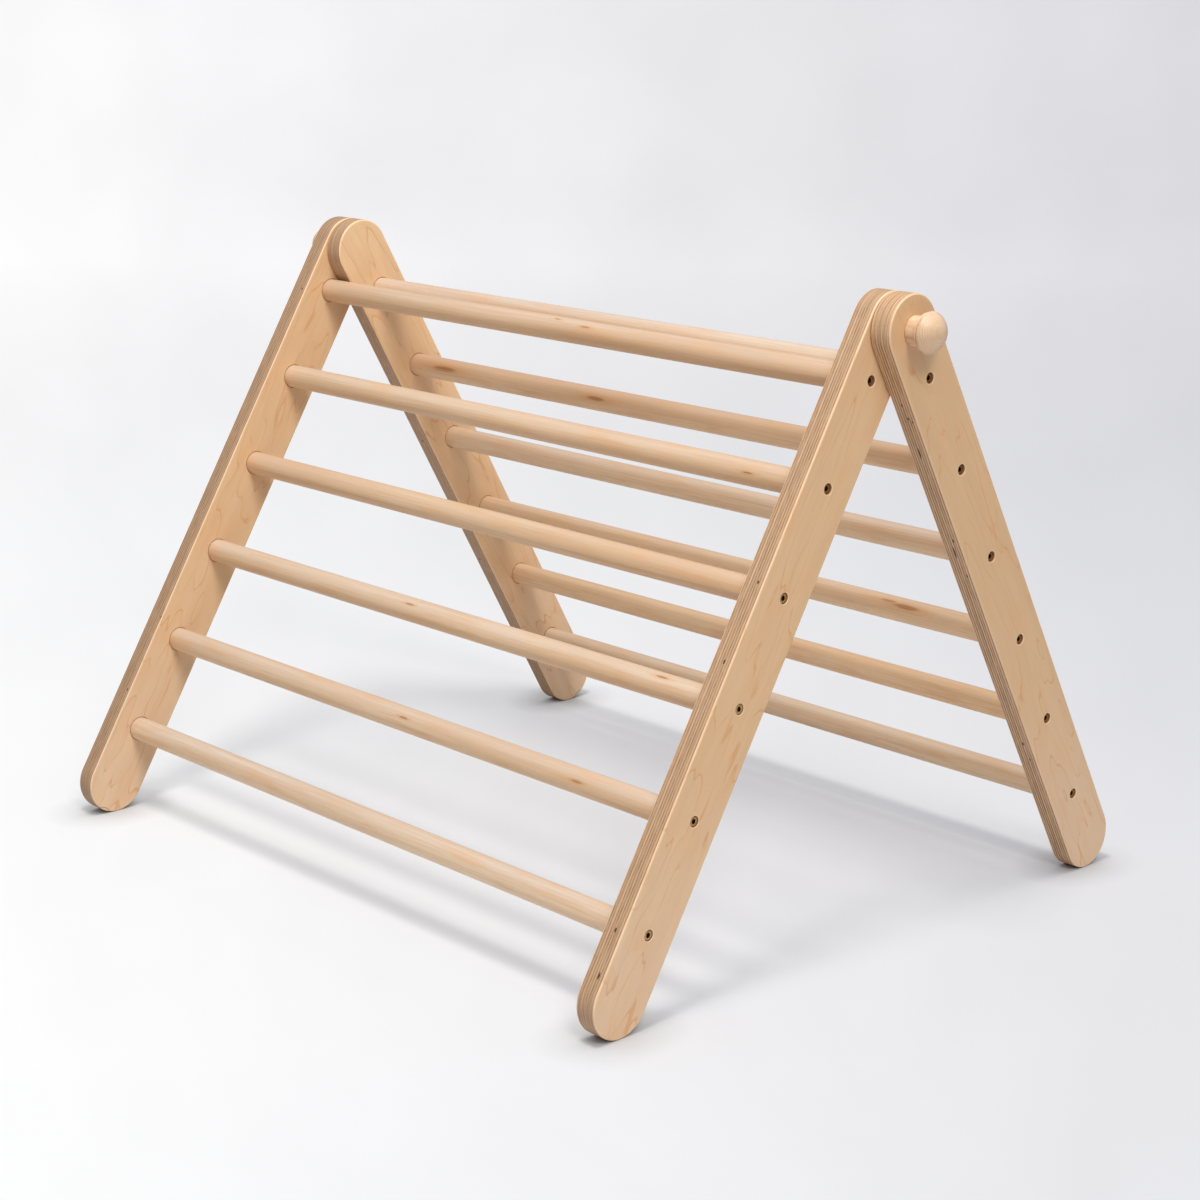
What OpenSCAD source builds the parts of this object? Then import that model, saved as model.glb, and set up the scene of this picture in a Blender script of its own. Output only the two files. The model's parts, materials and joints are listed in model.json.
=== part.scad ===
// Folding climbing triangle: two rung ladders of birch plywood and round
// dowels, hinged at the top on two hand knobs. Millimetres, +Z up, +X along
// the rungs, the front ladder on the -Y side, the floor at Z = 0.

/* [Side rails] */
// Width of a side rail's face, and so of its round ends
rail_width = 80; // [60:1:110]
// Thickness of the plywood
rail_thickness = 27; // [24:0.5:40]
// Round-over along the rail's face edges
edge_round = 2; // [0.5:0.1:4]
// From the lowest rung's axis to the centre of the foot's round
foot_reach = 76; // [50:1:150]

/* [Ladders] */
// Width of one ladder over both its rails
ladder_width = 966; // [600:1:1200]
// Lean of each ladder from the vertical
splay = 30.5; // [25:0.5:40]
// Room between the top rung and the other ladder's rail at rest
rest_gap = 1; // [0.5:0.1:4]

/* [Rungs] */
// Diameter of a rung
rung_diameter = 30; // [22:0.5:38]
// Distance from rung to rung along the rail
rung_pitch = 128; // [90:1:160]
// Depth of the blind socket that a rung's end sits in
socket_depth = 10; // [6:0.5:12]
// Room around a rung in its socket
socket_clearance = 0.2; // [0.1:0.05:0.5]

/* [Rung screws] */
// Diameter of the screw's head
screw_head_diameter = 11.5; // [8:0.5:16]
// Thickness of the screw's head
screw_head_height = 3.5; // [2.5:0.1:5]
// Bevel around the screw's head
screw_head_bevel = 0.7; // [0.2:0.1:1.2]
// Depth of the head's top below the rail's face
screw_recess = 1.6; // [0.5:0.1:3]
// Room around the head in its counterbore
screw_head_clearance = 0.6; // [0.2:0.1:1.5]
// Diameter of the screw's shank
screw_shank_diameter = 6.4; // [4:0.2:8]
// Room around the shank
screw_shank_clearance = 0.1; // [0.05:0.05:0.3]
// Depth of the screw's pilot hole in the rung
screw_bite = 36; // [20:1:60]
// Room between the screw's tip and the end of its pilot hole
screw_tip_gap = 1; // [0.5:0.5:3]
// Hexagon socket across its corners
hex_diameter = 6.4; // [3:0.1:7]
// Depth of the hexagon socket
hex_depth = 2.6; // [1:0.1:3]

/* [Pivot] */
// Diameter of the threaded stud
stud_diameter = 8; // [6:0.5:10]
// Running room around the stud
stud_clearance = 0.08; // [0.02:0.01:0.1]
// Outer diameter of the threaded insert in the inner rail
insert_diameter = 12; // [11:0.5:18]
// Length of the threaded insert
insert_length = 20; // [12:0.5:22]
// Room around the insert in its hole
insert_clearance = 0.1; // [0.05:0.05:0.3]
// How far the stud's end stays short of the insert's end
stud_end_gap = 2; // [1:0.5:5]
// Diameter of the spacer washer between the rails
spacer_diameter = 30; // [20:1:50]
// Thickness of the spacer washer
spacer_thickness = 1.5; // [1:0.1:3]
// Running room beside each face of a washer
washer_play = 0.05; // [0.02:0.01:0.1]
// Diameter of the steel washer under the knob
washer_diameter = 22; // [16:0.5:28]
// Thickness of the steel washer
washer_thickness = 1.6; // [1:0.1:2.5]
// Room around the steel washer in the knob's recess
washer_rim_clearance = 0.3; // [0.1:0.1:1]

/* [Knobs] */
// Diameter of the knob's neck
neck_diameter = 33.5; // [30:0.5:40]
// Length of the neck, up to the bead
neck_length = 16.5; // [10:0.5:18]
// Diameter of the thin bead behind the head
bead_diameter = 44; // [41:0.5:46]
// Thickness of the thin bead
bead_thickness = 2.5; // [2:0.5:5]
// Diameter of the knob's round head
head_diameter = 47; // [44:0.5:60]
// Roundness of the head's rim
rim_round = 4; // [3:0.5:6]
// Length of the knob, from the neck's face to its top
knob_length = 38.5; // [34:0.5:45]
// Depth of the stud's hole, from the neck's face
knob_bore_depth = 24; // [16:1:28]
// Room around the stud where it is glued into the knob
glue_clearance = 0.05; // [0.02:0.01:0.2]

/* [Hidden] */
$fn = 96;
// Overlap of two shapes that join, and overrun of a cut past the face it opens
tiny = 0.01;
over = 1;
birch = "BurlyWood";
brass = "DarkGoldenrod";
steel = "Silver";

// Rungs on each ladder
rung_count = 6;

rail_radius = rail_width / 2;
rung_radius = rung_diameter / 2;
// The top rung lies against the other ladder's rail, which closes the fold
first_rung = (rail_radius + rung_radius + rest_gap) / sin(2 * splay);
rail_span = first_rung + (rung_count - 1) * rung_pitch + foot_reach;
pivot_height = rail_span * cos(splay) + rail_radius;

head_start = neck_length + bead_thickness;
rail_gap = spacer_thickness + 2 * washer_play;
total_width = ladder_width + rail_thickness + rail_gap;
// Outer faces of the front ladder's outer and inner rails
outer_face = -total_width / 2;
inner_rail_face = outer_face + ladder_width;
rung_length = ladder_width - 2 * (rail_thickness - socket_depth);
rung_start = outer_face + rail_thickness - socket_depth;

// How far down the rail each rung's axis lies
function rung_drop(i) = first_rung + (i - 1) * rung_pitch;

// Places a ladder part, drawn hanging straight down from the pivot
module on_front_ladder() {
    translate([0, 0, pivot_height]) rotate([-splay, 0, 0]) children();
}

// The rear ladder is the front one turned half round
module on_rear_ladder() {
    rotate([0, 0, 180]) on_front_ladder() children();
}

// Places a pivot part, drawn around the left end's axis
module at_left_pivot() {
    translate([0, 0, pivot_height]) children();
}

module at_right_pivot() {
    rotate([0, 0, 180]) at_left_pivot() children();
}

// A cylinder along +X
module along_x(radius, length) {
    rotate([0, 90, 0]) cylinder(r = radius, h = length);
}

// A solid turned about +X: its profile's first value is the radius and the
// second is the distance along the axis
module turned_along_x() {
    rotate([0, 90, 0]) rotate_extrude() children();
}

// ---- side rails ----

// Half of the rail's cross-section, from its middle line outwards
module half_section() {
    corner_x = rail_radius - edge_round;
    corner_y = rail_thickness / 2 - edge_round;
    translate([0, -corner_y]) square([rail_radius, 2 * corner_y]);
    translate([0, -rail_thickness / 2]) square([corner_x, rail_thickness]);
    for (side = [-1, 1]) translate([corner_x, side * corner_y]) circle(r = edge_round, $fn = 32);
}

module full_section() {
    half_section();
    mirror([1, 0]) half_section();
}

// Half a disc, rounded over: the top half for turn = 90, the bottom half for turn = -90
module round_end(turn) {
    rotate([0, 90, 0]) rotate([0, 0, turn]) rotate_extrude(angle = 180) half_section();
}

// The blank with round ends: its middle plane is x = 0, and the pivot is at the origin
module rail_blank() {
    round_end(90);
    translate([0, 0, -rail_span]) rotate([0, 0, 90]) linear_extrude(rail_span) full_section();
    translate([0, 0, -rail_span]) round_end(-90);
}

// Sockets and screw holes for the rungs, in a rail whose outer face is x = 0
// and whose thickness runs along +X
module rung_holes() {
    head_radius = screw_head_diameter / 2 + screw_head_clearance;
    shank_radius = screw_shank_diameter / 2 + screw_shank_clearance;
    for (i = [1 : rung_count]) translate([0, 0, -rung_drop(i)]) {
        translate([-over, 0, 0]) along_x(head_radius, over + screw_recess + screw_head_height);
        along_x(shank_radius, rail_thickness);
        translate([rail_thickness - socket_depth, 0, 0])
            along_x(rung_radius + socket_clearance, socket_depth + over);
    }
}

// Rail on the outside at the pivot: the stud passes through it
module outer_rail() {
    color(birch) translate([outer_face, 0, 0]) difference() {
        translate([rail_thickness / 2, 0, 0]) rail_blank();
        rung_holes();
        translate([-over, 0, 0]) along_x(stud_diameter / 2 + stud_clearance, rail_thickness + 2 * over);
    }
}

// Rail on the inside at the pivot: it holds the threaded insert
module inner_rail() {
    color(birch) translate([inner_rail_face, 0, 0]) mirror([1, 0, 0]) difference() {
        translate([rail_thickness / 2, 0, 0]) rail_blank();
        rung_holes();
        translate([-over, 0, 0]) along_x(insert_diameter / 2 + insert_clearance, over + insert_length);
    }
}

// ---- rungs and their screws ----

module rung(i) {
    pilot_radius = screw_shank_diameter / 2 + screw_shank_clearance;
    color(birch) translate([rung_start, 0, -rung_drop(i)]) difference() {
        along_x(rung_radius, rung_length);
        translate([-over, 0, 0]) along_x(pilot_radius, screw_bite + over);
        translate([rung_length - screw_bite, 0, 0]) along_x(pilot_radius, screw_bite + over);
    }
}

// Hex-socket screw, its head's top at x = 0 and its shank along +X
module rung_screw() {
    head_radius = screw_head_diameter / 2;
    web = rail_thickness - screw_recess - screw_head_height - socket_depth;
    difference() {
        turned_along_x() polygon([
            [0, 0], [head_radius - screw_head_bevel, 0], [head_radius, screw_head_bevel],
            [head_radius, screw_head_height], [0, screw_head_height]]);
        translate([-over, 0, 0]) rotate([0, 90, 0]) cylinder(d = hex_diameter, h = over + hex_depth, $fn = 6);
    }
    translate([screw_head_height - tiny, 0, 0])
        along_x(screw_shank_diameter / 2, web + screw_bite - screw_tip_gap + tiny);
}

module outer_screws() {
    color(brass) for (i = [1 : rung_count])
        translate([outer_face + screw_recess, 0, -rung_drop(i)]) rung_screw();
}

module inner_screws() {
    color(brass) for (i = [1 : rung_count])
        translate([inner_rail_face - screw_recess, 0, -rung_drop(i)]) mirror([1, 0, 0]) rung_screw();
}

// ---- pivot, drawn for the left end, with the knob pointing along -X ----

module spacer_washer() {
    color("WhiteSmoke") translate([outer_face + rail_thickness + washer_play, 0, 0]) difference() {
        along_x(spacer_diameter / 2, spacer_thickness);
        translate([-over, 0, 0]) along_x(stud_diameter / 2 + stud_clearance, spacer_thickness + 2 * over);
    }
}

// Flush with the inner rail's outer face
module threaded_insert() {
    color(brass) translate([outer_face + rail_thickness + rail_gap, 0, 0]) difference() {
        along_x(insert_diameter / 2, insert_length);
        translate([-over, 0, 0]) along_x(stud_diameter / 2 + stud_clearance, insert_length + 2 * over);
    }
}

module knob_washer() {
    color(steel) translate([outer_face - washer_play - washer_thickness, 0, 0]) difference() {
        along_x(washer_diameter / 2, washer_thickness);
        translate([-over, 0, 0]) along_x(stud_diameter / 2 + stud_clearance, washer_thickness + 2 * over);
    }
}

module knob_stud() {
    length = knob_bore_depth + 2 * washer_play + rail_thickness + rail_gap + insert_length - stud_end_gap;
    color(steel) translate([outer_face - 2 * washer_play - knob_bore_depth, 0, 0])
        along_x(stud_diameter / 2, length);
}

// Profile of the knob's head: a rolled rim that runs smoothly into a dome
module head_profile() {
    rim_x = head_diameter / 2 - rim_round;
    rim_y = head_start + rim_round;
    rise = knob_length - rim_y;
    // Radius of the dome that ends at the knob's top and touches the rim's circle
    dome = (rim_x * rim_x + rise * rise - rim_round * rim_round) / (2 * (rise - rim_round));
    dome_y = knob_length - dome;
    reach = dome / (dome - rim_round);
    touch_y = dome_y + (rim_y - dome_y) * reach;
    translate([rim_x, rim_y]) circle(r = rim_round);
    translate([0, head_start]) square([rim_x, touch_y - head_start]);
    intersection() {
        translate([0, dome_y]) circle(r = dome);
        translate([0, touch_y]) square([dome, knob_length - touch_y + over]);
    }
}

// Turned knob: neck, thin bead and domed head
module knob() {
    neck_radius = neck_diameter / 2;
    bead_round = bead_thickness / 2;
    color(birch) translate([outer_face - 2 * washer_play, 0, 0]) mirror([1, 0, 0]) difference() {
        turned_along_x() {
            square([neck_radius, neck_length]);
            translate([bead_diameter / 2 - bead_round, neck_length + bead_round]) circle(r = bead_round);
            square([bead_diameter / 2 - bead_round, head_start + tiny]);
            head_profile();
        }
        translate([-over, 0, 0]) along_x(washer_diameter / 2 + washer_rim_clearance, over + washer_thickness);
        translate([-over, 0, 0]) along_x(stud_diameter / 2 + glue_clearance, over + knob_bore_depth);
    }
}

on_front_ladder() outer_rail();  // front_left_rail
on_front_ladder() inner_rail();  // front_right_rail
on_rear_ladder() inner_rail();  // rear_left_rail
on_rear_ladder() outer_rail();  // rear_right_rail
on_front_ladder() rung(1);  // front_rung_1
on_front_ladder() rung(2);  // front_rung_2
on_front_ladder() rung(3);  // front_rung_3
on_front_ladder() rung(4);  // front_rung_4
on_front_ladder() rung(5);  // front_rung_5
on_front_ladder() rung(6);  // front_rung_6
on_rear_ladder() rung(1);  // rear_rung_1
on_rear_ladder() rung(2);  // rear_rung_2
on_rear_ladder() rung(3);  // rear_rung_3
on_rear_ladder() rung(4);  // rear_rung_4
on_rear_ladder() rung(5);  // rear_rung_5
on_rear_ladder() rung(6);  // rear_rung_6
on_front_ladder() outer_screws();  // front_left_screws
on_front_ladder() inner_screws();  // front_right_screws
on_rear_ladder() inner_screws();  // rear_left_screws
on_rear_ladder() outer_screws();  // rear_right_screws
at_left_pivot() spacer_washer();  // left_spacer_washer
at_right_pivot() spacer_washer();  // right_spacer_washer
at_left_pivot() threaded_insert();  // left_threaded_insert
at_right_pivot() threaded_insert();  // right_threaded_insert
at_left_pivot() knob_washer();  // left_knob_washer
at_right_pivot() knob_washer();  // right_knob_washer
at_left_pivot() knob_stud();  // left_knob_stud
at_right_pivot() knob_stud();  // right_knob_stud
at_left_pivot() knob();  // left_knob
at_right_pivot() knob();  // right_knob
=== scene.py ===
import json
import math
from functools import cache

import bmesh
import bpy
import numpy as np
from mathutils import Matrix, Vector


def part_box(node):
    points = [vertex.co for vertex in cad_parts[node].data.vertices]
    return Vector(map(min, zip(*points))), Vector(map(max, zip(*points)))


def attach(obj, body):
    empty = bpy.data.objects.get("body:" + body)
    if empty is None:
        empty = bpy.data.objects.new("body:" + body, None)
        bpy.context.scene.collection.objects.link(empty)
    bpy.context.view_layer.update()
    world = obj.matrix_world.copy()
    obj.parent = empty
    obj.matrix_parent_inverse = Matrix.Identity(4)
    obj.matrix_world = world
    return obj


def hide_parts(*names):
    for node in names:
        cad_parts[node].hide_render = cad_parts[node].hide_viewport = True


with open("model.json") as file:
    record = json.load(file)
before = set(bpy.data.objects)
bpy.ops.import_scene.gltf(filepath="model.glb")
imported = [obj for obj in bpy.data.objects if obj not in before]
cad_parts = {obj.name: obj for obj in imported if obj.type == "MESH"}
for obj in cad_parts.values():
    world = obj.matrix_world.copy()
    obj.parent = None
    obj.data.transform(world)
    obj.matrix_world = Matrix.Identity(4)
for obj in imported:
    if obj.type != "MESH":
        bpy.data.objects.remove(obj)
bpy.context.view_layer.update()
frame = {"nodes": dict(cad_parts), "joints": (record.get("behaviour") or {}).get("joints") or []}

MM = 0.001

# ---- sizes that the frame's boxes don't tell ----
EDGE_ROUND = 2.0 * MM          # round-over along a rail's face edges
EDGE_SUPPORT = 0.25 * MM       # flat kept beside it
RUNG_ROOM = 0.2 * MM           # room around a rung in its socket
SOCKET_DEPTH = 10 * MM
HEAD_HOLE_RADIUS = 6.35 * MM   # counterbore of a rung screw
HEAD_HOLE_DEPTH = 5.1 * MM
HOLE_BREAK = 0.5 * MM          # bevel around every hole
STUD_HOLE_RADIUS = 4.08 * MM
INSERT_HOLE_RADIUS = 6.1 * MM
INSERT_HOLE_DEPTH = 20 * MM
PILOT_RADIUS = 3.3 * MM        # the screw's hole in a rung's end
PILOT_DEPTH = 36 * MM
RUNG_EASE = 1.0 * MM           # bevel at a rung's ends
PLY_COUNT = 15

FACE_STEP = 12 * MM            # longest step between rows along a rail
HOLE_STEP = math.radians(7.5)  # turn between points around a hole
END_STEPS = 64                 # rows round each end of a rail
RUNG_TURNS = 64                # points round a rung
SCREW_TURNS = 72               # points round a screw
KNOB_TURNS = 128               # points round a knob
SHARP_FROM = math.radians(32)  # edges that turn more than this stay sharp


# ---- places read from the frame ----

def reach(node):
    """Lowest and highest corners of a CAD node's box, as arrays."""
    low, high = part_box(node)
    return np.array(low), np.array(high)


def middle(node):
    """Centre of a CAD node's box."""
    low, high = reach(node)
    return (low + high) / 2


FOLD = next(joint for joint in frame["joints"] if joint["name"] == "ladder_fold")
PIVOT = np.array(FOLD["pos_m"])
RUNG_COUNT = sum(name.startswith("front_rung_") for name in frame["nodes"])
RAIL_RADIUS = reach("front_left_rail")[1][2] - PIVOT[2]
RAIL_THICKNESS = np.ptp(reach("front_left_rail"), axis=0)[0]
RUNG_RADIUS = np.ptp(reach("front_rung_1"), axis=0)[2] / 2


def outer_face(node, hand):
    """The x of a CAD node's outer side at that hand's end, and the way inward from it."""
    low, high = reach(node)
    return (low[0], 1) if hand == "left" else (high[0], -1)


class Ladder:
    """A ladder's own directions: across the rail's face, and along the rail from the pivot down."""

    def __init__(self, side):
        self.body = side + "_ladder"
        last = middle(f"{side}_rung_{RUNG_COUNT}") - PIVOT
        last[0] = 0
        self.along = last / np.linalg.norm(last)
        self.across = np.cross(self.along, [1, 0, 0])
        self.drops = np.array([(middle(f"{side}_rung_{number}") - PIVOT) @ self.along
                               for number in range(1, RUNG_COUNT + 1)])
        self.span = (PIVOT[2] - RAIL_RADIUS) / -self.along[2]

    def place(self, across, along, x):
        """Points in the frame: the pivot, plus across and along in the ladder's plane, at x."""
        flat = PIVOT * [0, 1, 1] + across[..., None] * self.across + along[..., None] * self.along
        return flat + x[..., None] * np.array([1, 0, 0])


LADDERS = {side: Ladder(side) for side in ("front", "rear")}


# ---- meshes from grids ----

def closed_mesh(name, points, notes):
    """A closed mesh over a grid of points by copy, row, column and x-y-z. Rows close on themselves,
    first and last columns end on a pole or a shared seam, and points that coincide are merged.
    notes are what the materials read: arrays over the same grid, or one number for all of it."""
    copies, rows, columns = points.shape[:3]
    index = np.arange(copies * rows * columns).reshape(copies, rows, columns)
    ahead = np.roll(index, -1, axis=1)
    quads = [index[:, :, :-1], ahead[:, :, :-1], ahead[:, :, 1:], index[:, :, 1:]]
    mesh = bpy.data.meshes.new(name)
    mesh.from_pydata(points.reshape(-1, 3), [], np.stack(quads, -1).reshape(-1, 4))
    for note, values in notes.items():
        if np.ndim(values) == 0:
            values = np.full(points.shape[:3], float(values))
        kind, field = ("FLOAT_VECTOR", "vector") if values.ndim == points.ndim else ("FLOAT", "value")
        layer = mesh.attributes.new(note, kind, "POINT")
        layer.data.foreach_set(field, values.astype(np.float32).ravel())
    shell = bmesh.new()
    shell.from_mesh(mesh)
    bmesh.ops.remove_doubles(shell, verts=shell.verts, dist=1e-6)
    bmesh.ops.dissolve_degenerate(shell, edges=shell.edges, dist=1e-7)
    bmesh.ops.recalc_face_normals(shell, faces=shell.faces)
    shell.to_mesh(mesh)
    shell.free()
    mesh.shade_smooth()
    mesh.set_sharp_from_angle(angle=SHARP_FROM)
    return mesh


def add_object(name, data):
    """A new object in the scene."""
    thing = bpy.data.objects.new(name, data)
    bpy.context.scene.collection.objects.link(thing)
    return thing


def add_piece(node, ending, points, notes, material, body):
    """Puts a closed mesh in the scene in place of the CAD node, riding on the node's body."""
    name = f"{node}_{ending}"
    mesh = closed_mesh(name, points, notes)
    mesh.materials.append(material)
    piece = add_object(name, mesh)
    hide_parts(node)
    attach(piece, body)


def arc(centre, radius, start, end, steps):
    """Points on a circle between two angles in degrees, from the first axis towards the second."""
    angle = np.radians(np.linspace(start, end, steps + 1))
    return centre[0] + radius * np.cos(angle), centre[1] + radius * np.sin(angle)


def joined(*stretches):
    """Stretches of a profile, each a pair of arrays, laid end to end."""
    return tuple(np.concatenate([np.atleast_1d(s[k]) for s in stretches]) for k in (0, 1))


def turned(profile, centre, toward, turns):
    """A turned surface about a line along X. Profile point k at distance d and radius r, turned by
    angle a, lies at centre + (toward * d, r * cos a, r * sin a)."""
    distance, radius = profile
    angle = np.linspace(0, 2 * np.pi, turns, endpoint=False)[:, None]
    x = centre[0] + toward * distance + 0 * angle
    y = centre[1] + radius * np.cos(angle)
    z = centre[2] + radius * np.sin(angle)
    return np.stack([x, y, z], -1)[None]


# ---- side rails ----

class Holes:
    """The holes along one face of a rail, each given as its place along it, its radius, its depth
    and whether it goes right through."""

    def __init__(self, holes):
        self.places, self.radii, self.depths, self.through = map(np.array, zip(*holes))

    def edges(self):
        rims = [self.places - self.radii, self.places + self.radii]
        breaks = [rims[0] - HOLE_BREAK, rims[1] + HOLE_BREAK]
        return np.concatenate(rims + breaks)

    def rows(self, along, between):
        """How rows at along start, where between is a point inside each row's own stretch. A row at
        distance gap from a hole's axis meets the wall at sqrt(radius^2 - gap^2) from the middle
        line. Returns the distance from that line and the depth of four points: the floor's middle,
        the floor's edge, the top of the wall and the outside of the bevel."""
        nearest = np.abs(between[:, None] - self.places).argmin(1)
        radius, gap = self.radii[nearest], along - self.places[nearest]
        opened = np.abs(between - self.places[nearest]) < radius
        wall = np.where(opened, np.sqrt(np.maximum(0, radius ** 2 - gap ** 2)), 0)
        rim = np.sqrt(np.maximum(0, (radius + HOLE_BREAK) ** 2 - gap ** 2))
        slope = np.clip(radius + HOLE_BREAK - np.abs(gap), 0, HOLE_BREAK)
        floor = np.where(opened, self.depths[nearest], slope)
        start = np.where(self.through[nearest], wall, 0)
        return np.stack([start, wall, wall, rim], -1), np.stack([floor, floor, slope, 0 * rim], -1)


def straight_rows(span, faces):
    """Rows along a rail's straight side: stretches between hole edges, stepped by equal turns in the
    smallest hole open there and by equal lengths elsewhere. Both ends of each stretch are kept, so
    a hole's wall can start between two rows at one place."""
    edges = np.concatenate([face.edges() for face in faces] + [[0, span]])
    edges = np.unique(np.round(edges[(edges >= 0) & (edges <= span)], 9))
    along, between = [], []
    for start, end in zip(edges[:-1], edges[1:]):
        centre = (start + end) / 2
        open_holes = [(face.radii[k], face.places[k]) for face in faces
                      for k in np.flatnonzero(np.abs(centre - face.places) < face.radii)]
        if open_holes:
            radius, place = min(open_holes)
            turn = np.arccos(np.clip((np.array([start, end]) - place) / radius, -1, 1))
            steps = max(1, round(abs(turn[1] - turn[0]) / HOLE_STEP))
            stretch = place + radius * np.cos(np.linspace(turn[0], turn[1], steps + 1))
        else:
            steps = math.ceil((end - start) / FACE_STEP)
            stretch = np.linspace(start, end, steps + 1)
        along.append(stretch)
        between.append(np.full(len(stretch), centre))
    return np.concatenate(along), np.concatenate(between)


def edge_profile():
    """Over one round-over of a rail, across the plies and over the other: distance inside the rail's
    outline, and depth from the outer face."""
    inset, depth = arc((EDGE_ROUND, EDGE_ROUND), EDGE_ROUND, -90, -180, 6)
    start = EDGE_ROUND + EDGE_SUPPORT
    near = joined(([start], [0]), (inset, depth), ([0], [start]))
    far = (near[0][::-1], RAIL_THICKNESS - near[1][::-1])
    return joined(near, ([0], [RAIL_THICKNESS / 2]), far)


def rail_grid(ladder, outer_holes, inner_holes):
    """A rail's skin as rows from the middle line of one face, square to the outline, over the edge
    and back on the other face: across, along, depth and distance inside the outline."""
    steps, between = straight_rows(ladder.span, (outer_holes, inner_holes))
    turn = np.linspace(0, np.pi, END_STEPS + 1)
    # round the top from +across to -across, down one side, round the foot and up the other side
    top, foot = 0 * turn, 0 * turn + ladder.span
    start = np.concatenate([top, steps, foot, steps[::-1]])
    inside = np.concatenate([top, between, foot, between[::-1]])
    aim_across = np.concatenate([np.cos(turn), -np.ones_like(steps), -np.cos(turn), np.ones_like(steps)])
    aim_along = np.concatenate([-np.sin(turn), 0 * steps, np.sin(turn), 0 * steps])
    outer_reach, outer_depth = outer_holes.rows(start, inside)
    inner_reach, inner_depth = inner_holes.rows(start, inside)
    inset, edge_depth = (np.broadcast_to(part, (len(start), len(part))) for part in edge_profile())
    reach_out = np.concatenate([outer_reach, RAIL_RADIUS - inset, inner_reach[:, ::-1]], 1)
    depth = np.concatenate([outer_depth, edge_depth, RAIL_THICKNESS - inner_depth[:, ::-1]], 1)
    across = reach_out * aim_across[:, None]
    along = start[:, None] + reach_out * aim_along[:, None]
    return across, along, depth, RAIL_RADIUS - reach_out


# How deep each rail's face and edge wood is, as shares towards the deeper tones
RAIL_WOOD = {"front_left_rail": (0.42, 0.33), "front_right_rail": (0.45, 0.24),
             "rear_left_rail": (0.0, 0.15), "rear_right_rail": (0.62, 0.0)}


def add_rail(side, hand, seed):
    """One side rail. The rail on the outside at the pivot has the stud's hole right through, and
    the other has a blind hole for the threaded insert."""
    ladder, node = LADDERS[side], f"{side}_{hand}_rail"
    outer_x, inward = outer_face(node, hand)
    partner = "rear" if side == "front" else "front"
    heads = [(drop, HEAD_HOLE_RADIUS, HEAD_HOLE_DEPTH, False) for drop in ladder.drops]
    sockets = [(drop, RUNG_RADIUS + RUNG_ROOM, SOCKET_DEPTH, False) for drop in ladder.drops]
    if abs(middle(node)[0]) > abs(middle(f"{partner}_{hand}_rail")[0]):
        stud = [(0, STUD_HOLE_RADIUS, RAIL_THICKNESS / 2, True)]
        outer_holes, inner_holes = Holes(stud + heads), Holes(stud + sockets)
    else:
        insert = [(0, INSERT_HOLE_RADIUS, INSERT_HOLE_DEPTH, False)]
        outer_holes, inner_holes = Holes(insert + heads), Holes(sockets)
    across, along, depth, inset = rail_grid(ladder, outer_holes, inner_holes)
    points = ladder.place(across, along, outer_x + inward * depth)[None]
    face_depth, edge_depth = RAIL_WOOD[node]
    notes = {"rail_place": np.stack([across, along, depth], -1)[None], "rail_inset": inset[None],
             "rail_seed": seed, "face_depth": face_depth, "edge_depth": edge_depth}
    add_piece(node, "plywood", points, notes, plywood(), ladder.body)


# ---- rungs ----

def rung_profile(length):
    """From the bottom of one screw hole, over the bevelled end, along the rung and in at the other
    end: distance along the rung, and radius."""
    to_middle = np.linspace(0.02, 0.5, 12) * length
    end = joined(([PILOT_DEPTH], [0]), ([PILOT_DEPTH, 0], [PILOT_RADIUS, PILOT_RADIUS]),
                 ([0, RUNG_EASE], [RUNG_RADIUS - RUNG_EASE, RUNG_RADIUS]),
                 (to_middle, np.full(len(to_middle), RUNG_RADIUS)))
    back = (length - end[0][-2::-1], end[1][-2::-1])
    return joined(end, back)


# Each rung's own wood, from the top rung down: how dark it is (0 pale, 1 deep), how it is turned
# about its length in degrees, how far its middle lies from the tree's in millimetres, how strong
# the painted sheen on its upper side is, and how much painted light from the floor its lower side takes
RUNG_WOOD = {
    # the top front rung's deeper tone is partly its own and partly painted shade over it
    "front": [(0.46, 200, 46, 0.8, 0.0), (0.22, 40, 70, 0.8, 0.0), (0.25, 120, 34, 0.6, 0.1),
              (0.12, 300, 58, 0.9, 0.1), (0.22, 15, 80, 0.9, 0.6), (0.14, 250, 40, 1.0, 0.8)],
    "rear": [(0.26, 75, 52, 1.0, 0.0), (0.34, 340, 30, 0.5, 0.6), (0.14, 160, 64, 0.85, 0.5),
             (0.04, 95, 44, 0.5, 0.8), (0.0, 220, 76, 0.2, 0.85), (0.0, 10, 36, 0.8, 1.0)],
}
# Up to two knots that show on a rung: place along X in metres, turn about the rung in degrees, and
# size in millimetres
NO_KNOT = (9.0, 0, 4.0)
RUNG_KNOTS = {
    "front_rung_1": ((0.035, 140, 1.4), (-0.017, 120, 1.0)),
    "front_rung_2": ((0.365, 168, 1.3), NO_KNOT),
    "front_rung_4": ((0.361, 120, 1.6), (-0.061, 136, 1.3)),
    "front_rung_5": ((0.304, 160, 1.5), (0.007, 150, 1.3)),
    "rear_rung_2": ((-0.075, 166, 2.8), (-0.37, 166, 4.0)),
    "rear_rung_4": ((0.336, 144, 3.4), (0.308, 134, 2.0)),
}
RUNG_APART = 1.7   # metres of wood from the start of one rung to the start of the next


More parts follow.
